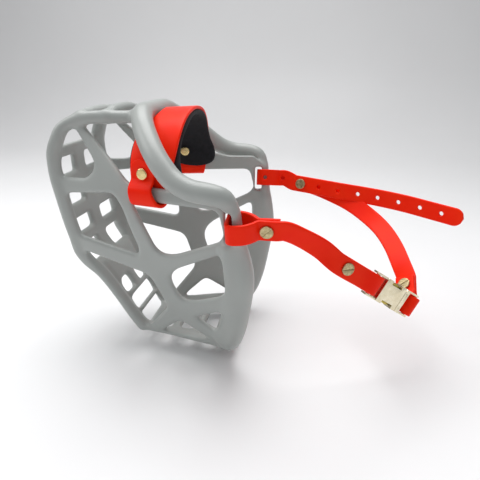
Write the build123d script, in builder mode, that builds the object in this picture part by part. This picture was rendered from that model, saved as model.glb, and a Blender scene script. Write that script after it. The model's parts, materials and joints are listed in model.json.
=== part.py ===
from build123d import *
import os

# Basket muzzle: a moulded basket with a padded noseband and a two-part head strap.
# Frame: millimetres, +Z up, the nose towards -X, the rear opening and the strap towards +X.
# y = 0 is the plane of symmetry of the basket; the muzzle stands on its flat chin at z = 0,
# and the origin is the middle of that flat face.

# ---------------------------------------------------------------- driving dimensions
WALL = 5.0                       # thickness of the moulded panels
CHEEK_HALF = 66.0                # half width of the side panel at the strap slot
CHEEK_X = 35.0                   # where that half width is measured
TAPER = 0.25                     # narrowing of the side panel over the cheeks
NOSE_BEND_X, NOSE_TAPER = -20.0, 0.20    # in front of this section it narrows less
JAW_Z = 76.0                     # the fold line of the side panel
JAW_SLOPE = 0.30                 # inward slope of the lower half
BROW_Z = 124.0                   # where the upper half starts to close in
CROWN_HALF = 25.0                # half width of the top panel
CROWN_Z = 166.0
FRONT_X, REAR_X = -100.0, 60.0   # the two sections that the panels span
RIM_R = 6.5                      # radius of the thick rim round the rear opening

STRAP_W = 13.0                   # coated webbing
STRAP_T = 2.4
LAYER = 1.35                     # centre of a layer from the middle of a doubled strap
SCREW_SHANK_R = 1.7
SCREW_HOLE_R = 1.75
SCREW_HEAD_R = 4.0
SCREW_HEAD_T = 1.4
HOLE_PITCH = 16.0
HOLE_R = 1.6

SLOT_POINT = Vector(43.0, 68.4, 102.0)   # rim centre at the strap slot, on the +Y side
SLOT_LEAN = 0.225                        # lean of the rim there
SLOT_LOW, SLOT_HIGH = -7.8, -2.6         # the slot, along X from the rim's centre
SLOT_LEG = -5.0                          # where the strap passes through it
SLOT_HALF_HEIGHT = 9.5

BUCKLE_AT = Vector(129.5, -44.5, 59.5)   # where the housing's body begins
BUCKLE_T = Vector(0.75, 0.36, -0.555).normalized()          # from housing to insert
BUCKLE_W = (Vector(0.479, 0.275, 0.834)
            - BUCKLE_T * Vector(0.479, 0.275, 0.834).dot(BUCKLE_T)).normalized()
BUCKLE_N = BUCKLE_T.cross(BUCKLE_W)      # out of the front plate, away from the head
HOUSING_L = 17.0
HALF_W, HALF_N = 8.2, 3.5                # half width and half thickness of the buckle
SKIN = 1.2                               # housing wall
BAR_R = 1.3
HOUSING_BAR_U = -6.0
FLANGE_U, FLANGE_L = 17.4, 3.2
INSERT_BAR_U = 28.0
EAR_END_U = 29.4
PIVOT_U, PIVOT_W = 18.9, 5.0
PIN_R = 0.75
LEVER_HALF_T = 1.0

os.makedirs("parts", exist_ok=True)


def side_of(y_sign):
    """Slot frame of one cheek: origin on the rim, z along it, x to the rear."""
    origin = Vector(SLOT_POINT.X, y_sign * SLOT_POINT.Y, SLOT_POINT.Z)
    return Plane(origin=origin, x_dir=(1, 0, 0), z_dir=(0, y_sign * SLOT_LEAN, 0.974))


NEAR, FAR = side_of(-1), side_of(1)
BUCKLE = Plane(origin=BUCKLE_AT, x_dir=BUCKLE_T, z_dir=BUCKLE_N)   # local y is BUCKLE_W or its opposite
W_SIGN = 1 if BUCKLE.y_dir.dot(BUCKLE_W) > 0 else -1


def in_buckle(u, n, w=0.0):
    return BUCKLE_AT + BUCKLE_T * u + BUCKLE_N * n + BUCKLE_W * w


# ---------------------------------------------------------------- the basket
def half_width(x):
    at_bend = CHEEK_HALF + TAPER * (NOSE_BEND_X - CHEEK_X)
    if x < NOSE_BEND_X:
        return at_bend + NOSE_TAPER * (x - NOSE_BEND_X)
    return at_bend + TAPER * (x - NOSE_BEND_X)


def panel_points(x, inset):
    """Corners of the basket's cross section at x, as (y, z)."""
    cheek = half_width(x) - inset
    chin = cheek - JAW_SLOPE * (JAW_Z + 6)
    reach = 52.0 / (CROWN_Z - BROW_Z)
    crown = cheek + (CROWN_HALF - inset - cheek) * reach
    right = [(chin, -6), (cheek, JAW_Z), (cheek, BROW_Z), (crown, BROW_Z + 52)]
    return right + [(-y, z) for y, z in reversed(right)]


# side view of the panels' outer and inner faces
OUTLINE = [(-28, 164), (-70, 163), (-86, 156), (-93, 147), (-94.5, 135), (-81, 71), (-77, 59), (-64, 46),
           (-36, 0), (30, 0), (41, 18), (44, 40), (45, 61), (44.5, 83), (43, 104), (40, 117), (33, 122),
           (14, 122), (3.5, 125), (-5, 132), (-12, 139), (-20, 148), (-26, 156)]
CAVITY = [(-28, 159), (-69, 158), (-83, 152), (-88, 145), (-89.3, 135), (-76.2, 72.5), (-72.5, 62), (-60, 49.5),
          (-33, 5), (80, 5), (80, 190), (-24, 190)]

SIDE_WINDOWS = [
    ([(-86, 140), (-85, 121), (-62, 121), (-56, 130), (-76, 155), (-83, 150)], 3.0),
    ([(-69, 155), (-27, 158), (-12, 146), (2, 130), (-1, 117), (-32, 117)], 2.0),
    ([(-81, 110), (-43, 113), (-38, 109), (-26, 76), (-28, 72), (-73, 82)], 2.0),
    ([(-34, 107.5), (30, 107), (34, 92), (-4, 75), (-13, 77)], 3.0),
    ([(-4, 64), (34, 84), (36, 54), (6, 39), (0, 40), (-7, 57)], 3.0),
    ([(-73, 70), (-22, 58), (-11, 31), (-32, 9)], 2.5),
    ([(10, 27), (34, 39), (34, 32), (27, 16)], 1.5),
    ([(-3, 21), (-20, 8), (18, 8)], 1.5),
]
WINDOW_R = 3.0                                      # corners of the nose, chin, top and bottom windows
POST_HALF = 7.5                                     # half width of the nose's centre post
NOSE_WINDOW_W = 22.0                                # width of the windows beside it
NOSE_ROWS = [(119.5, 131), (98.5, 110), (78.5, 88.5), (57, 70)]     # their heights
NOSE_THROUGH_X = -64.0                              # how far back the cuts through the nose go
BROW_OPENING = [(-29, 139.5), (29, 139.5), (24, 152), (22.5, 175), (-22.5, 175), (-24, 152)]
BROW_OPENING_X = -73.5                              # the opening's rear edge, at the first crowned bar
CHIN_ROWS = [(0.60, 0.82, True), (0.32, 0.52, False), (0.05, 0.25, False)]
CHIN_PAIR_Y, CHIN_PAIR_W, CHIN_SLOT_W = 11.5, 14.0, 36.0
TOP_WINDOWS = [(-60, 10), (-41, 11)]                # middle and length of the two behind that bar
TOP_WINDOW_W = 40.0
BOTTOM_WINDOWS_X = (-22, -4, 13)
BOTTOM_WINDOW_L, BOTTOM_WINDOW_W = 12.0, 42.0

with BuildPart() as cavity:
    for section_x in (FRONT_X, NOSE_BEND_X, REAR_X + 30):
        with BuildSketch(Plane.YZ.offset(section_x)):
            with BuildLine():
                Polyline(*panel_points(section_x, WALL), close=True)
            make_face()
    loft(ruled=True)
    with BuildSketch(Plane.XZ):
        with BuildLine():
            Polyline(*CAVITY, close=True)
        make_face()
    extrude(amount=100, both=True, mode=Mode.INTERSECT)

# the rim's centre line from the crown round the +Y cheek to the chin
RIM_HALF = [(-28.5, 0, 161.5), (-28.5, 24, 161.5), (-17, 46, 149.5), (-5, 60, 134.5), (6, 66, 125),
            (33, 73, 122), (42, 71.5, 115), (43, 65, 87), (44, 58, 61), (40, 51, 36), (32, 44.5, 12),
            (25, 36, 6.5), (25, 0, 6.5)]
RIM_BENDS = [10, 14, 14, 12, 12, 7, 7, 24, 24, 16, 8]

with BuildPart() as rim:
    with BuildLine() as rim_path:
        FilletPolyline(*RIM_HALF, radius=RIM_BENDS)
    with BuildSketch(Plane(origin=RIM_HALF[0], z_dir=(0, 1, 0))):
        Circle(RIM_R)
    sweep()
    mirror(about=Plane.XZ)

with BuildPart() as basket:
    for section_x in (FRONT_X, NOSE_BEND_X, REAR_X):
        with BuildSketch(Plane.YZ.offset(section_x)):
            with BuildLine():
                Polyline(*panel_points(section_x, 0), close=True)
            make_face()
    loft(ruled=True)
    with BuildSketch(Plane.XZ):
        with BuildLine():
            Polyline(*OUTLINE, close=True)
        make_face()
    extrude(amount=100, both=True, mode=Mode.INTERSECT)
    add(cavity.part, mode=Mode.SUBTRACT)
    for corners, corner_r in SIDE_WINDOWS:
        with BuildSketch(Plane.XZ):
            with BuildLine() as window:
                Polyline(*corners, close=True)
            make_face()
            fillet(window.vertices(), corner_r)
        extrude(amount=100, both=True, mode=Mode.SUBTRACT)
    # nose windows: two columns beside a centre post
    with BuildSketch(Plane.YZ.offset(FRONT_X - 10)):
        for low, high in NOSE_ROWS:
            for y_sign in (-1, 1):
                with Locations((y_sign * (POST_HALF + NOSE_WINDOW_W / 2), (low + high) / 2)):
                    RectangleRounded(NOSE_WINDOW_W, high - low, WINDOW_R)
    extrude(amount=NOSE_THROUGH_X - FRONT_X + 10, mode=Mode.SUBTRACT)
    # the large opening over the nose, in front of the first crowned bar
    with BuildSketch(Plane.YZ.offset(FRONT_X - 10)):
        with BuildLine() as brow:
            Polyline(*BROW_OPENING, close=True)
        make_face()
        fillet(brow.vertices(), WINDOW_R)
    extrude(amount=BROW_OPENING_X - FRONT_X + 10, mode=Mode.SUBTRACT)
    # chin windows: a pair and two full-width slots between cross bars
    chin_top, chin_low = Vector(-64, 0, 46), Vector(-36, 0, 0)
    down = (chin_low - chin_top)
    chin_plane = Plane(origin=chin_low, x_dir=(0, -1, 0), z_dir=Vector(down.Z, 0, -down.X))
    for start, end, paired in CHIN_ROWS:
        height = (end - start) * down.length
        centre = (start + end) / 2 * down.length
        with BuildSketch(chin_plane):
            if paired:
                with Locations((-CHIN_PAIR_Y, centre), (CHIN_PAIR_Y, centre)):
                    RectangleRounded(CHIN_PAIR_W, height, WINDOW_R)
            else:
                with Locations((0, centre)):
                    RectangleRounded(CHIN_SLOT_W, height, WINDOW_R)
        extrude(amount=14, both=True, mode=Mode.SUBTRACT)
    # top windows between the crowned cross bars
    with BuildSketch(Plane.XY.offset(150)):
        for window_x, length in TOP_WINDOWS:
            with Locations((window_x, 0)):
                RectangleRounded(length, TOP_WINDOW_W, WINDOW_R)
    extrude(amount=30, mode=Mode.SUBTRACT)
    # bottom windows
    with BuildSketch(Plane.XY.offset(-10)):
        for window_x in BOTTOM_WINDOWS_X:
            with Locations((window_x, 0)):
                RectangleRounded(BOTTOM_WINDOW_L, BOTTOM_WINDOW_W, WINDOW_R)
    extrude(amount=20, mode=Mode.SUBTRACT)
    add(rim.part)
    # the strap slots through the rear posts
    for cheek in (NEAR, FAR):
        with BuildSketch(cheek.offset(-SLOT_HALF_HEIGHT)):
            with Locations(((SLOT_LOW + SLOT_HIGH) / 2, 0)):
                Rectangle(SLOT_HIGH - SLOT_LOW, 32)
        extrude(amount=2 * SLOT_HALF_HEIGHT, mode=Mode.SUBTRACT)
    # flat chin face
    with Locations((0, 0, -20)):
        Box(300, 200, 40, mode=Mode.SUBTRACT)

# ---------------------------------------------------------------- bands of webbing
def band_planes(stations):
    """Section planes along a band; a station is (centre, direction of the band's width)."""
    planes = []
    for index, (centre, width_dir) in enumerate(stations):
        before = stations[max(index - 1, 0)][0]
        after = stations[min(index + 1, len(stations) - 1)][0]
        along = (after - before).normalized()
        planes.append(Plane(origin=centre, x_dir=along.cross(width_dir), z_dir=along))
    return planes


def at_slot(cheek, a, b):
    """A point of the strap's loop: a to the rear of the rim's centre, b outwards."""
    outward = 1 if cheek is FAR else -1
    return cheek.origin + Vector(a, 0, 0) + cheek.y_dir * (b * outward)


LOOP = [(12.6, LAYER + 0.02), (9.6, 4.6), (5.5, 7.6), (1, 8.8), (-2.8, 8.9), (-4.6, 7.9), (SLOT_LEG, 5.8)]


def slot_loop(cheek):
    """The strap's stations round the rear post, from the outside to the inside."""
    leg = [(at_slot(cheek, a, b), cheek.z_dir) for a, b in LOOP]
    return leg + [(at_slot(cheek, a, -b), cheek.z_dir) for a, b in reversed(LOOP)]


def plane_along(stations, distance):
    """Plane on a band's middle at a distance along it; its z is the band's normal."""
    planes = band_planes(stations)
    for start, end in zip(planes, planes[1:]):
        step = end.origin - start.origin
        if distance <= step.length:
            share = distance / step.length
            normal = start.x_dir * (1 - share) + end.x_dir * share
            return Plane(origin=start.origin + step * share, x_dir=step, z_dir=normal)
        distance -= step.length
    raise ValueError("beyond the band's end")


# ---------------------------------------------------------------- cheek strap
W = BUCKLE_W
CHEEK_RUN = [(Vector(92, -61.6, 89.4), Vector(0.42, -0.05, 0.90)),
             (Vector(79, -66.3, 98.0), Vector(0.28, -0.30, 0.91)),
             (Vector(71, -69.2, 101.8), Vector(0.06, -0.28, 0.96)),
             (at_slot(NEAR, 23, LAYER), NEAR.z_dir)]
INNER_END = [(at_slot(NEAR, 17, -LAYER), NEAR.z_dir), (at_slot(NEAR, 25, -LAYER), NEAR.z_dir)]
BAR_WRAP = [(-2.9, 1.5), (-4.0, 2.9), (-7, 3.3)]
LAP_END_U = -37.0                        # where the folded end stops, behind the buckle
CHEEK_SLOT_SCREW = Plane(origin=at_slot(NEAR, 17.5, 0), x_dir=NEAR.x_dir + NEAR.z_dir, z_dir=-NEAR.y_dir)
CHEEK_BUCKLE_SCREW = Plane(origin=in_buckle(-30, 0), z_dir=BUCKLE_N)

cheek_stations = [(in_buckle(LAP_END_U, -LAYER), W), (in_buckle(-17, -LAYER), W)]
cheek_stations += [(in_buckle(u, -n), W) for u, n in reversed(BAR_WRAP)]
cheek_stations += [(in_buckle(u, n), W) for u, n in BAR_WRAP]
cheek_stations += [(in_buckle(-17, LAYER), W), (in_buckle(LAP_END_U, LAYER), W)]
cheek_stations += CHEEK_RUN + [(at_slot(NEAR, 17, LAYER), NEAR.z_dir)]
cheek_stations += slot_loop(NEAR) + INNER_END

with BuildPart() as cheek_strap:
    for section in band_planes(cheek_stations):
        with BuildSketch(section):
            Rectangle(STRAP_T, STRAP_W)
    loft(ruled=True)
    for frame in (CHEEK_SLOT_SCREW, CHEEK_BUCKLE_SCREW):
        with BuildSketch(frame):
            Circle(SCREW_HOLE_R)
        extrude(amount=5, both=True, mode=Mode.SUBTRACT)

# ---------------------------------------------------------------- head strap
# The screw behind the insert holds both layers flat; so does the one on the far cheek.
END_SCREW_AT = Vector(150.35, -19.4, 50.6)
END_SCREW_DIR = Vector(0.03, 0.80, 0.59).normalized()
END_WIDTH = Vector(0.66, 0.22, 0.71)
CHEEK_SCREW_AT = Vector(73.6, 65.9, 98.1)
CHEEK_SCREW_DIR = Vector(0.966, -0.245, -0.08).normalized()
CHEEK_WIDTH = Vector(0.03, 0.23, 0.97)
SCREW_REACH = 4.2                        # the flat length on each side of those screws
HEAD_END_SCREW = Plane(origin=END_SCREW_AT, z_dir=END_WIDTH.cross(END_SCREW_DIR))
HEAD_CHEEK_SCREW = Plane(origin=CHEEK_SCREW_AT, z_dir=CHEEK_WIDTH.cross(CHEEK_SCREW_DIR))

HEAD_RUN = [(Vector(148.0, -4.0, 60.4), Vector(0.80, 0.24, 0.54)),
            (Vector(143.6, 9.5, 68.3), Vector(0.78, 0.34, 0.50)),
            (Vector(136.6, 24.0, 75.8), Vector(0.70, 0.42, 0.58)),
            (Vector(126.2, 38.0, 82.1), Vector(0.48, 0.42, 0.77)),
            (Vector(113.4, 50.0, 87.9), Vector(0.30, 0.36, 0.88)),
            (Vector(98.3, 59.4, 92.6), Vector(0.14, 0.28, 0.95)),
            (Vector(86.0, 64.6, 96.0), Vector(0.06, 0.24, 0.97))]
TAIL_RUN = [(Vector(90, 58.9, 97.4), Vector(0.03, 0.18, 0.98)),
            (Vector(106, 53.2, 96.4), Vector(0.03, 0.14, 0.99)),
            (Vector(122, 47.4, 95.6), Vector(0.04, 0.10, 0.99)),
            (Vector(138, 41.2, 94.6), Vector(0.05, 0.08, 0.99)),
            (Vector(154, 34.2, 93.2), Vector(0.06, 0.06, 0.99)),
            (Vector(170, 26.4, 91.2), Vector(0.08, 0.05, 0.99)),
            (Vector(190, 15.2, 89.0), Vector(0.09, 0.04, 0.99))]
INSERT_WRAP = [(31.0, -2.0), (30.9, 1.0), (29.6, 2.9), (28.0, 3.3), (26.6, 2.8), (25.4, 1.0), (25.2, -2.0)]
WRAP_FOOT = Vector(148.7, -27.2, 43.7)   # where the two legs of that wrap come together
WRAP_FOOT_WIDTH = Vector(0.55, 0.25, 0.79)
WRAP_FOOT_GAP = 2.2

end_normal = HEAD_END_SCREW.z_dir
if end_normal.dot(BUCKLE_T) < 0:
    end_normal = end_normal * -1
outer_leg, inner_leg = [
    [(WRAP_FOOT + BUCKLE_T * (side * WRAP_FOOT_GAP), WRAP_FOOT_WIDTH)]
    + [(END_SCREW_AT + END_SCREW_DIR * reach + end_normal * (side * LAYER), END_WIDTH)
       for reach in (-SCREW_REACH - 2, -SCREW_REACH, SCREW_REACH, SCREW_REACH + 2)]
    for side in (1, -1)]
wrap = [(in_buckle(u, n), W) for u, n in INSERT_WRAP]
split_at = (outer_leg[-1][0] + HEAD_RUN[0][0]) * 0.5
split_dir = (HEAD_RUN[0][0] - outer_leg[-1][0]).normalized()
SPLIT_GAP = 0.3                          # between the end that moves with the insert and the rest
end_stations = [(split_at - split_dir * (SPLIT_GAP / 2), HEAD_RUN[0][1])]
end_stations += outer_leg[::-1] + wrap + inner_leg

with BuildPart() as head_strap_end:
    for section in band_planes(end_stations):
        with BuildSketch(section):
            Rectangle(STRAP_T, STRAP_W)
    loft(ruled=True)
    with BuildSketch(HEAD_END_SCREW):
        Circle(SCREW_HOLE_R)
    extrude(amount=5, both=True, mode=Mode.SUBTRACT)

cheek_normal = HEAD_CHEEK_SCREW.z_dir
if cheek_normal.Y < 0:
    cheek_normal = cheek_normal * -1
cheek_outer, cheek_inner = [
    [(CHEEK_SCREW_AT + CHEEK_SCREW_DIR * reach + cheek_normal * (side * LAYER), CHEEK_WIDTH)
     for reach in (SCREW_REACH + 2, SCREW_REACH, -SCREW_REACH, -SCREW_REACH - 2)]
    for side in (1, -1)]
head_stations = [(split_at + split_dir * (SPLIT_GAP / 2), HEAD_RUN[0][1])] + HEAD_RUN + cheek_outer
head_stations += [(at_slot(FAR, 17, LAYER), FAR.z_dir)] + slot_loop(FAR)
head_stations += [(at_slot(FAR, 17, -LAYER), FAR.z_dir)]
tail_stations = cheek_inner[::-1] + TAIL_RUN
head_stations += tail_stations
HOLES_AFTER_SCREW = 7

with BuildPart() as head_strap:
    for section in band_planes(head_stations):
        with BuildSketch(section):
            Rectangle(STRAP_T, STRAP_W)
    loft(ruled=True)
    with BuildSketch(HEAD_CHEEK_SCREW):
        Circle(SCREW_HOLE_R)
    extrude(amount=5, both=True, mode=Mode.SUBTRACT)
    # adjusting holes along the tail, one pitch apart from the screw on
    for step in range(1, HOLES_AFTER_SCREW + 1):
        with BuildSketch(plane_along(tail_stations, SCREW_REACH + 2 + step * HOLE_PITCH)):
            Circle(HOLE_R)
        extrude(amount=3, both=True, mode=Mode.SUBTRACT)
    # and the two that lie against the far cheek
    for plane in (Plane(origin=at_slot(FAR, 15, -LAYER), z_dir=FAR.y_dir),
                  Plane(origin=at_slot(FAR, 1, -8.7), z_dir=FAR.y_dir)):
        with BuildSketch(plane.offset(-2)):
            Circle(HOLE_R)
        extrude(amount=3.2, mode=Mode.SUBTRACT)
    # rounded tip
    tip_from = tail_stations[-1][0]
    tip_back = (tail_stations[-2][0] - tip_from).normalized()
    tip = Plane(origin=tip_from + tip_back * (STRAP_W / 2), x_dir=tip_back * -1,
                z_dir=tip_back.cross(tail_stations[-1][1]))
    with BuildSketch(tip):
        with Locations((STRAP_W / 2, 0)):
            Rectangle(STRAP_W, 2 * STRAP_W)
        Circle(STRAP_W / 2, mode=Mode.SUBTRACT)
    extrude(amount=4, both=True, mode=Mode.SUBTRACT)

# ---------------------------------------------------------------- noseband
RIVET_AT = Vector(-20.0, 48.1, 127.3)                 # in the folded end's middle, on the +Y side
RIVET_AXIS = Vector(-0.243, 0.970, 0.0).normalized()
RIVET_HOLE_R, RIVET_POST_R, RIVET_BORE_R = 1.5, 1.3, 1.35
RIVET_CAP_R, RIVET_BACK_R, RIVET_CAP_T = 3.85, 3.5, 1.2
RIVET_OUT, RIVET_IN = 1.25, -9.9                      # the outer and inner seats along the rivet's axis
BAND_T = 2.2
FOAM_T = 5.0
FOAM_OFFSET = 4.0
# front edge and rear edge of the band, from the tab's free end round the bar to the crown (+Y side)
TAB_EDGES = [((-25.5, 46.2, 136.0), (-16.5, 48.4, 136.0)), ((-29, 45.9, 131.5), (-12, 50.0, 131.5)),
             ((-29, 45.9, 123.2), (-11, 50.4, 123.2)), ((-29, 52.4, 117.3), (-11, 56.9, 117.3)),
             ((-29, 52.2, 108.5), (-11, 56.7, 108.5)), ((-29, 50.8, 105.2), (-11, 55.3, 105.2)),
             ((-29, 47.4, 103.6), (-11, 51.9, 103.6)), ((-29, 44.2, 105.2), (-11, 48.7, 105.2)),
             ((-29, 42.8, 108.5), (-11, 47.3, 108.5)), ((-29, 42.8, 117.0), (-11, 47.3, 117.0)),
             ((-30, 43.0, 123.2), (-10, 48.0, 123.2)), ((-30.5, 42.9, 131.0), (-9.5, 48.1, 131.0))]
ARCH_EDGES = [((-33, 38.5, 137.0), (0.0, 46.6, 136.2)), ((-32, 29.5, 145.5), (2.0, 40.0, 147.0)),
              ((-28, 21.5, 150.6), (2.5, 32.0, 154.6)), ((-19.5, 15.5, 157.6), (3.0, 23.0, 160.2)),
              ((-18.5, 8.5, 161.4), (3.0, 12.5, 163.0)), ((-18.0, 0.0, 162.8), (3.0, 0.0, 164.0))]
RIVETS = {}
for name, y_sign in (("near", -1), ("far", 1)):
    RIVETS[name] = Plane(origin=(RIVET_AT.X, y_sign * RIVET_AT.Y, RIVET_AT.Z),
                         z_dir=(RIVET_AXIS.X, y_sign * RIVET_AXIS.Y, 0))


def flipped(edges):
    return [tuple((x, -y, z) for x, y, z in pair) for pair in edges]


def wide_band(edges):
    """Section planes and widths of a band between two edges."""
    stations = []
    for front, rear in edges:
        front, rear = Vector(*front), Vector(*rear)
        stations.append(((front + rear) * 0.5, (rear - front).normalized(), (rear - front).length))
    planes = band_planes([(centre, direction) for centre, direction, width in stations])
    return planes, [width for centre, direction, width in stations]


RED_EDGES = TAB_EDGES + ARCH_EDGES + flipped((TAB_EDGES + ARCH_EDGES[:-1])[::-1])
with BuildPart() as noseband_strap:
    for section, band_width in zip(*wide_band(RED_EDGES)):
        with BuildSketch(section):
            Rectangle(BAND_T, band_width)
    loft(ruled=True)
    for rivet in RIVETS.values():
        with BuildSketch(rivet.offset(-8)):
            Circle(RIVET_HOLE_R)
        extrude(amount=12, mode=Mode.SUBTRACT)

PAD_START = ((-29.5, 42.9, 119.0), (-9.5, 47.9, 119.0))
PAD_HALF = [PAD_START] + TAB_EDGES[-2:] + ARCH_EDGES
pad_planes, pad_widths = wide_band(PAD_HALF + flipped(PAD_HALF[:-1][::-1]))
with BuildPart() as noseband_foam:
    for section, band_width in zip(pad_planes, pad_widths):
        inward = section.offset(0).shift_origin(section.origin - section.x_dir * FOAM_OFFSET)
        with BuildSketch(inward):
            Rectangle(FOAM_T, band_width + 1.5)
    loft(ruled=True)
    for rivet in RIVETS.values():
        with BuildSketch(rivet.offset(-13)):
            Circle(RIVET_HOLE_R)
        extrude(amount=12, mode=Mode.SUBTRACT)

rivet_parts = {}
for name, rivet in RIVETS.items():
    with BuildPart() as cap:
        with BuildSketch(rivet.offset(RIVET_OUT)):
            Circle(RIVET_CAP_R)
        extrude(amount=RIVET_CAP_T)
        fillet(cap.edges().group_by(Axis(rivet.origin, rivet.z_dir))[-1], 0.9)
        with BuildSketch(rivet.offset(RIVET_IN - 0.6)):
            Circle(RIVET_POST_R)
        extrude(amount=RIVET_OUT - RIVET_IN + 0.8)
    with BuildPart() as back:
        with BuildSketch(rivet.offset(RIVET_IN - RIVET_CAP_T)):
            Circle(RIVET_BACK_R)
        extrude(amount=RIVET_CAP_T)
        fillet(back.edges().group_by(Axis(rivet.origin, rivet.z_dir))[0], 0.9)
        with BuildSketch(rivet.offset(RIVET_IN - 0.65)):
            Circle(RIVET_BORE_R)
        extrude(amount=1, mode=Mode.SUBTRACT)
    rivet_parts[f"rivet_cap_{name}"] = cap
    rivet_parts[f"rivet_back_{name}"] = back
for name, rivet_part in rivet_parts.items():
    rivet_part.part.label = name
    export_step(rivet_part.part, f"parts/{name}.step")

# ---------------------------------------------------------------- buckle
PRONG_WINDOW_U = (4.5, 13.4)
MOUTH_HALF_W, MOUTH_HALF_N = HALF_W - SKIN, HALF_N - SKIN

with BuildPart() as buckle_housing:
    with BuildSketch(BUCKLE.offset(-HALF_N)):
        with Locations((HOUSING_L / 2, 0)):
            Rectangle(HOUSING_L, 2 * HALF_W)
    extrude(amount=2 * HALF_N)
    fillet(buckle_housing.edges().filter_by(Axis(BUCKLE_AT, BUCKLE_N)), 0.8)
    # the mouth that takes the insert
    with BuildSketch(BUCKLE.offset(-MOUTH_HALF_N)):
        with Locations((HOUSING_L / 2 + SKIN, 0)):
            Rectangle(HOUSING_L, 2 * MOUTH_HALF_W)
    extrude(amount=2 * MOUTH_HALF_N, mode=Mode.SUBTRACT)
    # windows for the two prongs
    window_mid = sum(PRONG_WINDOW_U) / 2
    window_len = PRONG_WINDOW_U[1] - PRONG_WINDOW_U[0]
    for w_side in (-1, 1):
        with BuildSketch(BUCKLE.offset(-HALF_N - 1)):
            with Locations((window_mid, w_side * HALF_W)):
                Rectangle(window_len, 5)
        extrude(amount=2 * HALF_N + 2, mode=Mode.SUBTRACT)
    # side arms and the fixed bar that the webbing is folded round
    for w_side in (-1, 1):
        with BuildSketch(BUCKLE.offset(-2.6)):
            with Locations((-4, w_side * (HALF_W - 0.6))):
                Rectangle(9, SKIN)
        extrude(amount=5.2)
    bar_start = in_buckle(HOUSING_BAR_U, 0, -HALF_W + 0.3)
    with BuildSketch(Plane(origin=bar_start, z_dir=BUCKLE_W)):
        Circle(BAR_R)
    extrude(amount=2 * HALF_W - 0.6)

with BuildPart() as buckle_insert:
    with BuildSketch(BUCKLE.offset(-HALF_N)):
        with Locations((FLANGE_U + FLANGE_L / 2, 0)):
            Rectangle(FLANGE_L, 2 * HALF_W)
    extrude(amount=2 * HALF_N)
    # slot in the flange for the roots of the prongs
    with BuildSketch(BUCKLE.offset(-LEVER_HALF_T - 0.15)):
        with Locations((FLANGE_U, 0)):
            Rectangle(6.0, 2 * HALF_W - 2.4)
    extrude(amount=2 * LEVER_HALF_T + 0.3, mode=Mode.SUBTRACT)
    # guide tongue
    with BuildSketch(BUCKLE.offset(-1.9)):
        with Locations((15, 0)):
            Rectangle(10, 2.0)
    extrude(amount=3.8)
    # ears and the bar for the head strap
    for w_side in (-1, 1):
        with BuildSketch(BUCKLE.offset(-1.8)):
            with Locations(((FLANGE_U + FLANGE_L + EAR_END_U) / 2 - 0.5, w_side * (HALF_W - 0.6))):
                Rectangle(EAR_END_U - FLANGE_U - FLANGE_L + 1, SKIN)
        extrude(amount=4.0)
    bar_start = in_buckle(INSERT_BAR_U, 0, -HALF_W + 0.3)
    with BuildSketch(Plane(origin=bar_start, z_dir=BUCKLE_W)):
        Circle(BAR_R)
    extrude(amount=2 * HALF_W - 0.6)
    # holes for the prongs' pins
    for w_side in (-1, 1):
        with BuildSketch(BUCKLE.offset(-HALF_N + 0.5)):
            with Locations((PIVOT_U, w_side * PIVOT_W)):
                Circle(PIN_R + 0.02)
        extrude(amount=2 * HALF_N, mode=Mode.SUBTRACT)

PRONG_OUTER = [(18.9, 6.3), (15.5, 6.3), (13.2, 6.7), (9.5, 7.6), (8.0, 7.5), (5.2, 5.9)]
PRONG_INNER = [(5.2, 4.9), (8.0, 5.6), (13.0, 5.2), (16.5, 4.0), (18.9, 3.7)]
prongs = {}
for name, w_side in (("prong_upper", 1), ("prong_lower", -1)):
    with BuildPart() as prong:
        with BuildSketch(BUCKLE.offset(-LEVER_HALF_T)):
            with BuildLine():
                Polyline(*[(u, w * w_side * W_SIGN) for u, w in PRONG_OUTER + PRONG_INNER], close=True)
            make_face()
            with Locations((PIVOT_U, w_side * W_SIGN * PIVOT_W)):
                Circle(1.3)
                Circle(PIN_R + 0.05, mode=Mode.SUBTRACT)
        extrude(amount=2 * LEVER_HALF_T)
    prongs[name] = prong

with BuildPart() as prong_pins:
    with BuildSketch(BUCKLE.offset(-HALF_N + 0.5)):
        with Locations((PIVOT_U, -PIVOT_W), (PIVOT_U, PIVOT_W)):
            Circle(PIN_R)
    extrude(amount=2 * HALF_N - 0.5)

# ---------------------------------------------------------------- two-part screws
STACK = LAYER + STRAP_T / 2 + 0.05       # from the middle of the doubled strap to a head's seat
THREAD_R, THREAD_BORE_R = 0.9, 0.95
SLOT_W, SLOT_D = 0.9, 0.5                # driver slot
SCREWS = {"cheek_slot": CHEEK_SLOT_SCREW, "cheek_buckle": CHEEK_BUCKLE_SCREW,
          "head_slot": HEAD_CHEEK_SCREW, "head_end": HEAD_END_SCREW}

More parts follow.
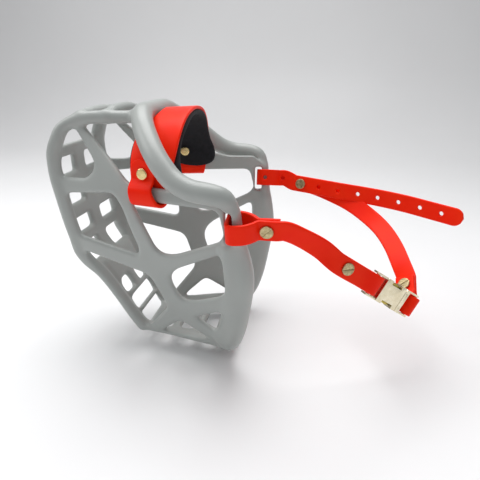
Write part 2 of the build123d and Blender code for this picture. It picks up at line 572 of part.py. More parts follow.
for name, frame in SCREWS.items():
    with BuildPart() as post:
        with BuildSketch(frame.offset(-STACK - SCREW_HEAD_T)):
            Circle(SCREW_HEAD_R)
        extrude(amount=SCREW_HEAD_T)
        fillet(post.edges().group_by(Axis(frame.origin, frame.z_dir))[0], 0.4)
        with BuildSketch(frame.offset(-STACK)):
            Circle(SCREW_SHANK_R)
        extrude(amount=2 * STACK - 0.1)
        with BuildSketch(frame.offset(-STACK + 1)):
            Circle(THREAD_BORE_R)
        extrude(amount=2 * STACK, mode=Mode.SUBTRACT)
        with BuildSketch(frame.offset(-STACK - SCREW_HEAD_T)):
            Rectangle(3 * SCREW_HEAD_R, SLOT_W)
        extrude(amount=SLOT_D, mode=Mode.SUBTRACT)
    with BuildPart() as screw:
        with BuildSketch(frame.offset(STACK)):
            Circle(SCREW_HEAD_R)
        extrude(amount=SCREW_HEAD_T)
        fillet(screw.edges().group_by(Axis(frame.origin, frame.z_dir))[-1], 0.4)
        with BuildSketch(frame.offset(-STACK + 1.3)):
            Circle(THREAD_R)
        extrude(amount=2 * STACK - 1)
        with BuildSketch(frame.offset(STACK + SCREW_HEAD_T - SLOT_D)):
            Rectangle(3 * SCREW_HEAD_R, SLOT_W)
        extrude(amount=1, mode=Mode.SUBTRACT)
    post.part.label = f"{name}_post"
    screw.part.label = f"{name}_screw"
    export_step(post.part, f"parts/{name}_post.step")
    export_step(screw.part, f"parts/{name}_screw.step")

NAMED = {"basket": basket, "buckle_housing": buckle_housing, "buckle_insert": buckle_insert,
         "prong_pins": prong_pins, "noseband_strap": noseband_strap, "noseband_foam": noseband_foam,
         "cheek_strap": cheek_strap, "head_strap_end": head_strap_end, "head_strap": head_strap, **prongs}
for name, piece in NAMED.items():
    piece.part.label = name
    export_step(piece.part, f"parts/{name}.step")
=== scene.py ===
"""Basket muzzle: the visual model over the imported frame. Metres, +Z up, the nose towards -X."""
import json
import math
import bpy
import bmesh
import numpy as np
from mathutils import Matrix, Vector


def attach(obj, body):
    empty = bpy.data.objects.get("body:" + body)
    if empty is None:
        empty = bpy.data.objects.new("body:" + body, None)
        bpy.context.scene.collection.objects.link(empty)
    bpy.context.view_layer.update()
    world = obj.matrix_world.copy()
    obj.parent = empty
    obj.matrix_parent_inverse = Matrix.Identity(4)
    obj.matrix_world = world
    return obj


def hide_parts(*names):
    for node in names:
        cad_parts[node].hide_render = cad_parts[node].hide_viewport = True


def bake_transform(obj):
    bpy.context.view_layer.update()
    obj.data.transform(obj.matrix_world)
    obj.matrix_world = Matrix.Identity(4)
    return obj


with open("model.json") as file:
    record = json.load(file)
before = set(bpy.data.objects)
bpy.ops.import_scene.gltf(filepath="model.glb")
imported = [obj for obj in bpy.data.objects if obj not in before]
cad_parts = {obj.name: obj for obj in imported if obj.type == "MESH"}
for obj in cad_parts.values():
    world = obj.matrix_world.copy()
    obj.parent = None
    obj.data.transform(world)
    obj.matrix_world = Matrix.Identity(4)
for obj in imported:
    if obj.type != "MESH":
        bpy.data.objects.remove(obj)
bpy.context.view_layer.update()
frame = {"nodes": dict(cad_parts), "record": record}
MM = 0.001


# ------------------------------------------------------------ small helpers
def smax(a, b, k):
    """The larger of two distances, with the edge between them rounded."""
    h = np.maximum(k - np.abs(a - b), 0.0)
    return np.maximum(a, b) + h * h / (4 * k)


def smin(a, b, k):
    """The smaller of two distances, blended in the same way."""
    return -smax(-a, -b, k)


def spline(points, step):
    """A smooth line through the rows of points, sampled about every step; extra columns are carried along."""
    p = np.asarray(points, float)
    p = np.vstack([2 * p[0] - p[1], p, 2 * p[-1] - p[-2]])
    out = []
    for a, b, c, d in zip(p[:-3], p[1:-2], p[2:-1], p[3:]):
        t0 = 0.0
        t1 = t0 + np.linalg.norm((b - a)[:3]) ** 0.5 + 1e-6
        t2 = t1 + np.linalg.norm((c - b)[:3]) ** 0.5 + 1e-6
        t3 = t2 + np.linalg.norm((d - c)[:3]) ** 0.5 + 1e-6
        n = max(2, int(math.ceil(np.linalg.norm((c - b)[:3]) / step)))
        for t in np.linspace(t1, t2, n, endpoint=False):
            ab = (t1 - t) / (t1 - t0) * a + (t - t0) / (t1 - t0) * b
            bc = (t2 - t) / (t2 - t1) * b + (t - t1) / (t2 - t1) * c
            cd = (t3 - t) / (t3 - t2) * c + (t - t2) / (t3 - t2) * d
            abc = (t2 - t) / (t2 - t0) * ab + (t - t0) / (t2 - t0) * bc
            bcd = (t3 - t) / (t3 - t1) * bc + (t - t1) / (t3 - t1) * cd
            out.append((t2 - t) / (t2 - t1) * abc + (t - t1) / (t2 - t1) * bcd)
    out.append(p[-2])
    return np.array(out)


def make_mesh(name, verts, faces):
    """A smooth-shaded object from points in metres."""
    mesh = bpy.data.meshes.new(name)
    mesh.from_pydata([tuple(v) for v in verts], [], [tuple(int(i) for i in f) for f in faces])
    mesh.validate()
    mesh.shade_smooth()
    obj = bpy.data.objects.new(name, mesh)
    bpy.context.scene.collection.objects.link(obj)
    return obj


# ------------------------------------------------------------ the moulded basket as a distance field
# A grid over the half with y > 0 holds distances in millimetres, negative inside. It is mirrored at the end.
STEP = 1.1                      # grid spacing
WALL = 5.0                      # thickness of the moulded panels
BEND_X, BEND_HALF = -20, 52.25  # the section where the side panel bends, and its half width there
JAW_Z = 76                      # below this height the side panel slopes inwards
BROW_Z = 119                    # above this height it closes in towards the crown
FAR_AWAY = 99.0                 # a distance beyond any that matters

gx = np.arange(-106.0, 55.0, STEP)
gy = np.arange(STEP / 2, 84.0, STEP)
gz = np.arange(-5.0, 173.0, STEP)
X2, Z2 = np.meshgrid(gx, gz, indexing="ij")
Y3, Z3, X3 = gy[None, :, None], gz[None, None, :], gx[:, None, None]
PLAN_X, PLAN_Y = X3 + 0 * Y3, Y3 + 0 * X3


def convex(u, v, corners, k):
    """Distance to a convex outline with rounded corners, negative inside."""
    c = np.asarray(corners, float)
    turn = np.sum(c[:, 0] * np.roll(c[:, 1], -1) - np.roll(c[:, 0], -1) * c[:, 1])
    result = None
    for p, q in zip(c, np.roll(c, -1, axis=0)):
        e = (q - p) / np.linalg.norm(q - p) * (1 if turn > 0 else -1)
        d = (u - p[0]) * e[1] - (v - p[1]) * e[0]
        result = d if result is None else smax(result, d, k)
    return result


def outline(u, v, corners, blur=0):
    """Distance to any outline, negative inside; blur softens its corners."""
    c = np.asarray(corners, float)
    best = np.full(u.shape, np.inf)
    inside = np.zeros(u.shape, bool)
    for p, q in zip(c, np.roll(c, -1, axis=0)):
        e = q - p
        t = np.clip(((u - p[0]) * e[0] + (v - p[1]) * e[1]) / (e @ e), 0, 1)
        best = np.minimum(best, np.hypot(u - p[0] - t * e[0], v - p[1] - t * e[1]))
        if p[1] != q[1]:
            crosses = (p[1] > v) != (q[1] > v)
            inside ^= crosses & (u < (q[0] - p[0]) * (v - p[1]) / (q[1] - p[1]) + p[0])
    d = np.where(inside, -best, best)
    for _ in range(blur):
        d[1:-1] = (d[:-2] + 2 * d[1:-1] + d[2:]) / 4
        d[:, 1:-1] = (d[:, :-2] + 2 * d[:, 1:-1] + d[:, 2:]) / 4
    return d


# half width of the side panels over the side view, and the distance to them
cheek = BEND_HALF + np.where(X2 < BEND_X, 0.20, 0.25) * (X2 - BEND_X)
crown = 24.6 + 0.085 * np.maximum(-28 - X2, 0)
closing = cheek + (crown - cheek) * (Z2 - BROW_Z) / 45
half_width = smin(smin(cheek, cheek + 0.30 * (Z2 - JAW_Z), 6), closing, 8)
slope_x, slope_z = np.gradient(half_width, STEP)
side = (Y3 - half_width[:, None, :]) / np.sqrt(1 + slope_x ** 2 + slope_z ** 2)[:, None, :]

# side view: the outer face from the crown over the nose to the chin, and the edge of the rear opening
FRONT = [(80, 163.3), (-63, 163), (-74.5, 160.8), (-84.6, 154), (-88.4, 146.5), (-91.4, 137), (-91, 121.5),
         (-87.6, 106), (-84, 90), (-81.3, 77.8), (-79.6, 66), (-74, 57.5), (-66.5, 51), (-62, 43.5), (-36, 0),
         (80, 0)]
REAR = [(-110, 180), (-29, 180), (-26, 157), (-20, 148), (-12, 139), (-5, 132), (3.5, 125), (14, 122),
        (34, 121.5), (41, 115), (42.5, 104), (44.5, 83), (46, 64), (43.5, 42), (39, 20), (32, -10),
        (-110, -10)]
envelope = smax(side, outline(X2, Z2, FRONT, 3)[:, None, :], 7)
field = np.abs(envelope + WALL / 2) - WALL / 2
field = smax(field, outline(X2, Z2, REAR)[:, None, :], 2)

# windows of the side panels in the side view, each with the rounding of its corners
SIDE_WINDOWS = [
    ([(-83.5, 139.5), (-83, 120.5), (-61, 121), (-55.5, 130), (-74.5, 155.5), (-80.5, 149)], 6),
    ([(-68, 155.5), (-27, 157.5), (-12, 146), (2, 130), (-1, 119), (-30.5, 119.5)], 4),
    ([(-79.5, 110), (-43, 113.5), (-38, 109), (-26, 76), (-28, 72), (-72.5, 81.5)], 4),
    ([(-29.5, 110.2), (30.5, 110.2), (34.5, 92), (-4, 75), (-13, 77)], 5),
    ([(-4, 64), (38, 85.5), (40.5, 54.5), (6, 39), (0, 40), (-7, 57)], 6),
    ([(-71.5, 69.5), (-22, 57), (-11.5, 31), (-32, 6), (-37, 7.5)], 5),
    ([(9, 27), (35, 39.5), (34.5, 31), (27.5, 15)], 4),
    ([(-3, 20.5), (-21, 5.5), (20, 7)], 4)]
WINDOW_DEPTH = 13               # how far inwards from the panel's face they are cut
near_side = (half_width[:, None, :] - WINDOW_DEPTH) - Y3
for corners, k in SIDE_WINDOWS:
    window = smax(convex(X2, Z2, corners, k)[:, None, :], near_side, 1)
    field = smax(field, -window, 2.6)


def rectangle(u, v, u_range, v_range, k):
    """Distance to a rectangle with rounded corners."""
    (u0, u1), (v0, v1) = u_range, v_range
    return convex(u, v, [(u0, v0), (u1, v0), (u1, v1), (u0, v1)], k)


def cut(window, limit, k=2.4):
    """Takes away what is inside a window and inside its limit."""
    global field
    field = smax(field, -smax(window, limit, 1), k)


# the nose has two columns of windows beside a centre post: heights, outer edge and depth of each row
POST_HALF = 7.5
NOSE_ROWS = [((119.5, 131), 32, -68), ((98.5, 110), 32, -68), ((78.5, 88.5), 32, -68), ((57, 70), 30, -62)]
for heights, outer_y, back_x in NOSE_ROWS:
    cut(rectangle(Y3, Z3, (POST_HALF, outer_y), heights, 3.5), X3 - back_x)
# the large opening over the nose ends at the first crowned bar
BROW = [(-20, 139.5), (31.5, 139.5), (30.5, 146), (28, 152.5), (25, 158), (23.5, 185), (-20, 185)]
cut(convex(Y3, Z3, BROW, 4), X3 + 73.5)
# the chin's windows lie on its slope: a pair at the top and two slots that cross the middle
CHIN_RISE, CHIN_RUN, CHIN_X = 46, -28, -36
CHIN_LENGTH = 53.85
CHIN_ROWS = [((32, 43.5), (4.5, 19)), ((17, 28), (-30, 18.5)), ((3, 13.5), (-30, 17.5))]
up_slope = ((X3 - CHIN_X) * CHIN_RUN + Z3 * CHIN_RISE) / CHIN_LENGTH
off_slope = ((X3 - CHIN_X) * CHIN_RISE - Z3 * CHIN_RUN) / CHIN_LENGTH + 0 * Y3
for heights, widths in CHIN_ROWS:
    cut(rectangle(Y3 + 0 * up_slope, up_slope + 0 * Y3, widths, heights, 5), np.abs(off_slope) - 11)
# three windows in the bottom and one large one in the top
for middle in (-22, -4, 13):
    cut(rectangle(PLAN_X, PLAN_Y, (middle - 5.5, middle + 5.5), (-40, 21), 5), Z3 - 12)
cut(convex(PLAN_X, PLAN_Y, [(-73, -40), (-20, -40), (-20, 21.5), (-73, 25.5)], 5), 152 - Z3)


def tube(points, radius, k, step=3.0):
    """Joins a round bar along a smooth line to the field; radius may be given for each point."""
    global field
    p = np.asarray(points, float)
    if p.shape[1] == 3:
        p = np.column_stack([p, np.full(len(p), float(radius))])
    p = spline(p, step)
    bar = np.full(field.shape, FAR_AWAY, np.float32)
    for a, b in zip(p[:-1], p[1:]):
        reach = max(a[3], b[3]) + 7
        lo, hi = np.minimum(a, b)[:3] - reach, np.maximum(a, b)[:3] + reach
        ix = slice(*np.searchsorted(gx, (lo[0], hi[0])))
        iy = slice(*np.searchsorted(gy, (lo[1], hi[1])))
        iz = slice(*np.searchsorted(gz, (lo[2], hi[2])))
        u, v, w = gx[ix, None, None] - a[0], gy[None, iy, None] - a[1], gz[None, None, iz] - a[2]
        e = (b - a)[:3]
        t = np.clip((u * e[0] + v * e[1] + w * e[2]) / max(e @ e, 1e-9), 0, 1)
        d = np.sqrt((u - t * e[0]) ** 2 + (v - t * e[1]) ** 2 + (w - t * e[2]) ** 2)
        bar[ix, iy, iz] = np.minimum(bar[ix, iy, iz], d - (a[3] + (b[3] - a[3]) * t))
    field = smin(field, bar, k)


# a rail from the crown over the corner of the nose to the chin, and two crowned bars between the rails
RAIL = [(-28, 24.5, 159.6), (-35.3, 25, 159.4), (-49.8, 26.3, 159.3), (-62.8, 28, 159), (-72.2, 29.5, 157),
        (-81.1, 32, 151.7), (-84.4, 34, 144.9), (-87.4, 35, 136.7), (-87, 36, 121.4), (-83.6, 37, 106.2),
        (-80, 37.3, 90.2), (-77.4, 36.5, 77.8), (-75.8, 35, 67.1), (-71, 33.5, 59), (-64, 32, 52),
        (-58.5, 30, 43.5), (-51, 27.5, 29), (-44, 25.5, 15), (-38, 24, 5)]
RAIL_R = 3.9
tube(RAIL, RAIL_R, 3)
for bar_x, rise in ((-69, 161), (-51, 163)):
    tube([(bar_x, -14, rise), (bar_x, 0, rise), (bar_x, 14, rise - 0.6), (bar_x, 26, 159.5)], RAIL_R, 3)
# the rim with its radius at each point: thick over the cheeks, thin beside the strap slot
RIM = [(-28.5, -14, 161.5, 6.9), (-28.5, 0, 161.5, 6.9), (-28.3, 14, 161.5, 6.9), (-27, 24, 160.8, 7),
       (-22.6, 36, 155.7, 7), (-16.8, 46, 149.4, 7), (-9.4, 56, 141.6, 6.9), (-2.9, 62, 135, 6.8),
       (5.4, 67, 128, 6.7), (15.5, 70.5, 124, 6.5), (29, 73, 122.3, 6.4), (36, 72.4, 120, 5.9),
       (40.2, 70.8, 114, 4.5), (42.1, 69.4, 107, 3.3), (42.6, 67.8, 99, 3.3), (43, 65.8, 92, 4.6),
       (44, 62.8, 82, 6), (45.5, 59, 66, 6.6), (43.2, 53.5, 45, 6.4), (38.5, 48, 22, 6.4), (34, 44, 11, 6.4),
       (29, 36, 6.4, 6.4), (26, 24, 6.4, 6.4), (25, 0, 6.4, 6.4), (25, -14, 6.4, 6.4)]
# two thin bars make the post behind the slot as wide as the rim
POST = [(41.6, 69.9, 111, 3), (42.4, 68.4, 102, 3.1), (42.8, 66.6, 94, 3.4)]
for outward in (-3, 3):
    tube([(x, y + outward, z, r) for x, y, z, r in POST], 0, 3)
tube(RIM, 0, 2.5)
# a fillet between the rim and the lower half of the side panel
tube([(37.0, 66.2, 88), (37.5, 60.2, 68), (37, 54, 48), (33.5, 48.5, 30), (28, 43.5, 14)], 4.6, 5)
# the strap slot, and the flat face of the chin
cut(rectangle(X2, Z2, (34.9, 40.6), (92.2, 111.8), 1.5)[:, None, :], np.abs(Y3 - 67) - 16, 1.2)
field = smax(field, -Z3, 1.5)


def surface(values, origin, step):
    """Turns a distance field into points and quads."""
    nx, ny, nz = values.shape
    inside = values < 0
    corners = [(i, j, k) for i in (0, 1) for j in (0, 1) for k in (0, 1)]
    count = sum(inside[i:nx - 1 + i, j:ny - 1 + j, k:nz - 1 + k].astype(np.int8) for i, j, k in corners)
    cells = np.argwhere((count > 0) & (count < 8))
    number = np.full((nx - 1, ny - 1, nz - 1), -1, np.int64)
    number[tuple(cells.T)] = np.arange(len(cells))
    at = {c: values[tuple((cells + c).T)] for c in corners}
    total, hits = np.zeros((len(cells), 3)), np.zeros(len(cells))
    for a in corners:
        for axis in range(3):
            if a[axis]:
                continue
            b = tuple(v + (n == axis) for n, v in enumerate(a))
            crossing = (at[a] < 0) != (at[b] < 0)
            share = np.where(crossing, at[a] / np.where(crossing, at[a] - at[b], 1), 0)
            spot = np.array(a, float)[None, :] + share[:, None] * np.eye(3)[axis]
            total += spot * crossing[:, None]
            hits += crossing
    points = (cells + total / hits[:, None]) * step + origin
    quads = []
    for axis in range(3):
        u, v = (axis + 1) % 3, (axis + 2) % 3
        low, high = [slice(1, n - 1) for n in values.shape], [slice(1, n - 1) for n in values.shape]
        low[axis], high[axis] = slice(0, values.shape[axis] - 1), slice(1, values.shape[axis])
        change = inside[tuple(low)] != inside[tuple(high)]
        where = np.argwhere(change)
        where[:, u] += 1
        where[:, v] += 1
        leaving = inside[tuple(where.T)]
        ring = []
        for du, dv in ((0, 0), (-1, 0), (-1, -1), (0, -1)):
            cell = where.copy()
            cell[:, u] += du
            cell[:, v] += dv
            ring.append(number[tuple(cell.T)])
        ring = np.stack(ring, 1)
        ring[~leaving] = ring[~leaving][:, ::-1]
        quads.append(ring)
    return points, np.vstack(quads)


def relax(points, quads, rounds, share=0.5):
    """Moves every point towards the middle of its neighbours."""
    edges = np.vstack([quads[:, [i, (i + 1) % 4]] for i in range(4)])
    for _ in range(rounds):
        total, hits = np.zeros_like(points), np.zeros(len(points))
        for a, b in ((0, 1), (1, 0)):
            np.add.at(total, edges[:, a], points[edges[:, b]])
            np.add.at(hits, edges[:, a], 1)
        points = points + (total / np.maximum(hits, 1)[:, None] - points) * share
    return points


whole = np.concatenate([field[:, ::-1], field], axis=1).astype(np.float32)
points, quads = surface(whole, np.array([gx[0], -gy[-1], gz[0]]), STEP)
points = relax(points, quads, 2)
points[:, 2] = np.maximum(points[:, 2], 0.0)
basket = make_mesh("moulded_basket", points * MM, quads)


# ------------------------------------------------------------ materials
def material(name, color, rough, metal=0.0, sheen=0.0):
    """A new material, its node tree and its shader."""
    m = bpy.data.materials.new(name)
    m.use_nodes = True
    b = m.node_tree.nodes["Principled BSDF"]
    b.inputs["Base Color"].default_value = (*color, 1)
    b.inputs["Roughness"].default_value = rough
    b.inputs["Metallic"].default_value = metal
    b.inputs["Sheen Weight"].default_value = sheen
    return m, m.node_tree, b


def node(tree, kind, **inputs):
    """A new node; an input's name is written with _ for its spaces."""
    n = tree.nodes.new(kind)
    for key, value in inputs.items():
        n.inputs[key.replace("_", " ")].default_value = value
    return n


def mottled(tree, bsdf, dark, light, scale, low=0.35, high=0.65, rough=None):
    """Colour, and if asked roughness, that varies softly over the surface."""
    place = node(tree, "ShaderNodeTexCoord")
    noise = node(tree, "ShaderNodeTexNoise", Scale=scale, Detail=4.0, Roughness=0.55)
    ramp = node(tree, "ShaderNodeValToRGB")
    ramp.color_ramp.elements[0].position, ramp.color_ramp.elements[1].position = low, high
    ramp.color_ramp.elements[0].color, ramp.color_ramp.elements[1].color = (*dark, 1), (*light, 1)
    tree.links.new(place.outputs["Object"], noise.inputs["Vector"])
    tree.links.new(noise.outputs["Fac"], ramp.inputs["Fac"])
    tree.links.new(ramp.outputs["Color"], bsdf.inputs["Base Color"])
    if rough:
        spread = node(tree, "ShaderNodeMapRange")
        spread.inputs["To Min"].default_value, spread.inputs["To Max"].default_value = rough
        tree.links.new(noise.outputs["Fac"], spread.inputs["Value"])
        tree.links.new(spread.outputs["Result"], bsdf.inputs["Roughness"])
    return place


def grain(tree, bsdf, place, scale, strength, distance):
    """A fine bump over the surface."""
    noise = node(tree, "ShaderNodeTexNoise", Scale=scale, Detail=3.0, Roughness=0.6)
    bump = node(tree, "ShaderNodeBump", Strength=strength, Distance=distance)
    tree.links.new(place.outputs["Object"], noise.inputs["Vector"])
    tree.links.new(noise.outputs["Fac"], bump.inputs["Height"])
    tree.links.new(bump.outputs["Normal"], bsdf.inputs["Normal"])


def surfaced(name, color, rough, tones, scale, bump, spread=None, metal=0.0, sheen=0.0):
    """A mottled, grainy material: tones are its dark and light colour, spread its range of roughness."""
    m, tree, bsdf = material(name, color, rough, metal, sheen)
    place = mottled(tree, bsdf, *tones, scale, rough=spread)
    grain(tree, bsdf, place, *bump)
    return m, bsdf


PLASTIC, _ = surfaced("moulded_grey", (0.38, 0.40, 0.382), 0.34, ((0.365, 0.385, 0.368), (0.40, 0.42, 0.402)),
                      22, (900, 0.12, 0.0004), spread=(0.30, 0.42))
RED, bsdf = surfaced("coated_webbing", (1.0, 0.02, 0.001), 0.45, ((0.98, 0.016, 0.0008), (1.0, 0.026, 0.002)),
                     60, (700, 0.10, 0.0003), spread=(0.32, 0.44))
bsdf.inputs["Specular IOR Level"].default_value = 0.12
FOAM, _ = surfaced("ribbed_foam", (0.006, 0.006, 0.009), 0.85, ((0.003, 0.003, 0.005), (0.009, 0.009, 0.013)),
                   300, (2500, 0.5, 0.0004), sheen=0.04)
GOLD, _ = surfaced("rivet_brass", (0.86, 0.68, 0.32), 0.2, ((0.72, 0.55, 0.24), (0.90, 0.74, 0.38)),
                   500, (900, 0.2, 0.0002), spread=(0.14, 0.32), metal=1)
ANTIQUE, _ = surfaced("screw_brass", (0.55, 0.44, 0.24), 0.32, ((0.36, 0.28, 0.15), (0.62, 0.52, 0.30)),
                      600, (1500, 0.35, 0.0002), spread=(0.22, 0.45), metal=1)
SATIN, _ = surfaced("buckle_metal", (0.80, 0.72, 0.52), 0.24, ((0.72, 0.64, 0.45), (0.86, 0.79, 0.60)),
                    250, (1800, 0.15, 0.0002), spread=(0.18, 0.33), metal=1)
PRONG, _ = surfaced("prong_brass", (0.50, 0.40, 0.10), 0.3, ((0.40, 0.31, 0.07), (0.58, 0.47, 0.14)),
                    600, (1500, 0.2, 0.0002), spread=(0.22, 0.4), metal=1)


def finish_piece(obj, paint, slot, body, *nodes):
    """Gives a piece its material and body, and hides the CAD nodes that it stands for; slot is not used."""
    obj.data.materials.clear()
    obj.data.materials.append(paint)
    if body:
        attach(obj, body)
    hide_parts(*nodes)
    return obj


finish_piece(basket, PLASTIC, "basket_plastic", "basket", "basket")


# ------------------------------------------------------------ bands of webbing
def unit(v):
    """Vectors of length one."""
    return v / np.maximum(np.linalg.norm(v, axis=-1, keepdims=True), 1e-12)


def band(name, stations, thick, round_r=0.8, step=1.2, tips=(None, None), ribs=None, skew=False):
    """A flat band. A station is centre, width direction and half width; a tip is a rounded end's length.

    ribs are a pitch and a height. A skewed band keeps its width directions as they are given.
    """
    s = spline([[*c, *d, w] for c, d, w in stations], step)
    centre, width_dir, half = s[:, :3], unit(s[:, 3:6]), s[:, 6]
    along = unit(np.gradient(centre, axis=0))
    normal = unit(np.cross(along, width_dir))
    if not skew:
        width_dir = np.cross(normal, along)
    run = np.concatenate([[0], np.cumsum(np.linalg.norm(np.diff(centre, axis=0), axis=1))])
    for tip, from_end in zip(tips, (run, run[-1] - run)):
        if tip:
            left = np.clip(1 - from_end / tip, 0, 1)
            half = half * np.maximum(np.sqrt(1 - left ** 2), 0.02)
    ring = []
    arc = np.linspace(0, math.pi / 2, 5)
    for sx, sy in ((1, 1), (-1, 1), (-1, -1), (1, -1)):
        turn = arc if sx * sy > 0 else arc[::-1]
        ring += [(sx, sy, sx * math.cos(a), sy * math.sin(a)) for a in turn]
    across = [-0.75, -0.45, -0.15, 0.15, 0.45, 0.75]
    profile = ring[:5] + [(0, 1, -f, None) for f in across]
    profile += ring[5:15] + [(0, -1, f, None) for f in across] + ring[15:]
    verts = []
    for i in range(len(centre)):
        r = min(round_r, half[i] * 0.9, thick / 2)
        ribbed = thick / 2
        if ribs:
            pitch, height = ribs
            ribbed += height * (0.5 + 0.5 * math.cos(2 * math.pi * run[i] / pitch))
        for sx, sy, p, q in profile:
            if q is None:
                a, b = p * (half[i] - r), sy * ribbed
            else:
                a, b = sx * (half[i] - r) + p * r, sy * (thick / 2 - r) + q * r
            verts.append(centre[i] + width_dir[i] * a + normal[i] * b)
    n = len(profile)
    faces = [(i * n + j, i * n + (j + 1) % n, (i + 1) * n + (j + 1) % n, (i + 1) * n + j)
             for i in range(len(centre) - 1) for j in range(n)]
    faces += [tuple(range(n))[::-1], tuple((len(centre) - 1) * n + j for j in range(n))]
    obj = make_mesh(name, np.array(verts) * MM, faces)
    bm = bmesh.new()
    bm.from_mesh(obj.data)
    if bm.calc_volume(signed=True) < 0:
        bmesh.ops.reverse_faces(bm, faces=bm.faces)
    bm.to_mesh(obj.data)
    bm.free()
    return obj


def V(*a):
    return np.array(a, float)


STRAP_HALF, STRAP_T = 6.5, 2.4  # half width and thickness of the webbing
LAYER = 1.35                    # centre of a layer from the middle of a doubled strap
# the buckle's frame: where the housing begins, along it, across it and out of its front
AT = V(129.5, -44.5, 59.5)
T = unit(V(0.75, 0.36, -0.555))
W = V(0.479, 0.275, 0.834)
W = unit(W - T * (W @ T))
N = np.cross(T, W)


def buckle(u, n):
    """A point u along the buckle and n out of its front."""
    return AT + T * u + N * n


def slot_frame(sign):
    """Middle of the rim at one slot, its outward direction and its lean."""
    return V(43, sign * 68.4, 102), V(0, sign * 0.974, -0.225), unit(V(0, sign * 0.225, 0.974))


def at_slot(sign, a, b):
    """A point a to the rear of the rim's middle and b outwards."""
    origin, out, _ = slot_frame(sign)
    return origin + V(a, 0, 0) + out * b


# half of a strap's turn round the post, from the outside into the slot
LOOP = [(12.6, 1.4), (9.6, 4.4), (5.5, 7.3), (1, 8.6), (-2.8, 8.7), (-4.6, 7.6), (-5.2, 5.8), (-5.2, 2)]


def slot_loop(sign):
    up = slot_frame(sign)[2]
    outside = [(at_slot(sign, a, b), up) for a, b in LOOP]
    return outside + [(at_slot(sign, a, -b), up) for a, b in LOOP[::-1]]


def plain(stations):
    return [(c, d, STRAP_HALF) for c, d in stations]


UP_NEAR, UP_FAR = slot_frame(-1)[2], slot_frame(1)[2]
BAR_WRAP = [(-2.9, 1.5), (-4.0, 2.9), (-7, 3.2)]
cheek_line = [(buckle(-37, -LAYER), W), (buckle(-17, -LAYER), W)]
cheek_line += [(buckle(u, -n), W) for u, n in BAR_WRAP[::-1]]
cheek_line += [(buckle(u, n), W) for u, n in BAR_WRAP]
cheek_line += [(buckle(-17, LAYER), W), (buckle(-37, LAYER), W), (V(92, -61.6, 89.4), V(0.42, -0.05, 0.90)),
               (V(79, -66.3, 98.0), V(0.28, -0.30, 0.91)), (V(71, -69.2, 101.8), V(0.06, -0.28, 0.96)),
               (at_slot(-1, 23, LAYER), UP_NEAR), (at_slot(-1, 17, LAYER), UP_NEAR)]
cheek_line += slot_loop(-1) + [(at_slot(-1, 17, -LAYER), UP_NEAR), (at_slot(-1, 25, -LAYER), UP_NEAR)]
cheek_band = band("cheek_band", plain(cheek_line), STRAP_T)

# the screws behind the insert and on the far cheek hold both layers flat
END_AT, END_DIR, END_W = V(150.35, -19.4, 50.6), unit(V(0.03, 0.80, 0.59)), V(0.66, 0.22, 0.71)
SIDE_AT, SIDE_DIR, SIDE_W = V(73.6, 65.9, 98.1), unit(V(0.966, -0.245, -0.08)), V(0.03, 0.23, 0.97)
FLAT = (-6.2, -4.2, 4.2, 6.2)   # stations of those flat lengths, from the screw
end_n = unit(np.cross(END_W, END_DIR))
end_n = end_n if end_n @ T > 0 else -end_n
side_n = unit(np.cross(SIDE_W, SIDE_DIR))
side_n = side_n if side_n[1] > 0 else -side_n
HEAD_RUN = [(V(148.0, -4.0, 60.4), V(0.80, 0.24, 0.54)), (V(143.6, 9.5, 68.3), V(0.78, 0.34, 0.50)),
            (V(136.6, 24.0, 75.8), V(0.70, 0.42, 0.58)), (V(126.2, 38.0, 82.1), V(0.48, 0.42, 0.77)),
            (V(113.4, 50.0, 87.9), V(0.30, 0.36, 0.88)), (V(98.3, 59.4, 92.6), V(0.14, 0.28, 0.95)),
            (V(86.0, 64.6, 96.0), V(0.06, 0.24, 0.97))]
TAIL_RUN = [(V(90, 58.9, 97.4), V(0.03, 0.18, 0.98)), (V(106, 53.2, 96.4), V(0.03, 0.14, 0.99)),
            (V(122, 47.4, 95.6), V(0.04, 0.10, 0.99)), (V(138, 41.2, 94.6), V(0.05, 0.08, 0.99)),
            (V(154, 34.2, 93.2), V(0.06, 0.06, 0.99)), (V(170, 26.4, 91.2), V(0.08, 0.05, 0.99)),
            (V(190, 15.2, 89.0), V(0.09, 0.04, 0.99))]
INSERT_WRAP = [(31.0, -2.0), (30.9, 1.0), (29.6, 2.9), (28.0, 3.3), (26.6, 2.8), (25.4, 1.0), (25.2, -2.0)]
FOOT, FOOT_W = V(148.7, -27.2, 43.7), V(0.55, 0.25, 0.79)


def leg(side_sign):
    """One layer from the fold round the insert's bar past its screw."""
    foot = [(FOOT + T * (side_sign * 2.2), FOOT_W)]
    return foot + [(END_AT + END_DIR * r + end_n * (side_sign * LAYER), END_W) for r in FLAT]


far_outer = [(SIDE_AT + SIDE_DIR * r + side_n * LAYER, SIDE_W) for r in FLAT[::-1]]
far_inner = [(SIDE_AT + SIDE_DIR * r - side_n * LAYER, SIDE_W) for r in FLAT]
# one strap in two bands that meet inside the far slot
slot_middle = [(at_slot(1, -5.2, -0.5), UP_FAR)]
head_line = leg(-1)[::-1] + [(buckle(u, n), W) for u, n in INSERT_WRAP[::-1]] + leg(1)
head_line += HEAD_RUN + far_outer + [(at_slot(1, 17, LAYER), UP_FAR)]
head_line += slot_loop(1)[:len(LOOP)] + slot_middle
tail_line = slot_middle + slot_loop(1)[len(LOOP):]
tail_line += [(at_slot(1, 17, -LAYER), UP_FAR)] + far_inner + TAIL_RUN
head_band = band("head_band", plain(head_line), STRAP_T)
tail_band = band("tail_band", plain(tail_line), STRAP_T, tips=(None, STRAP_HALF))


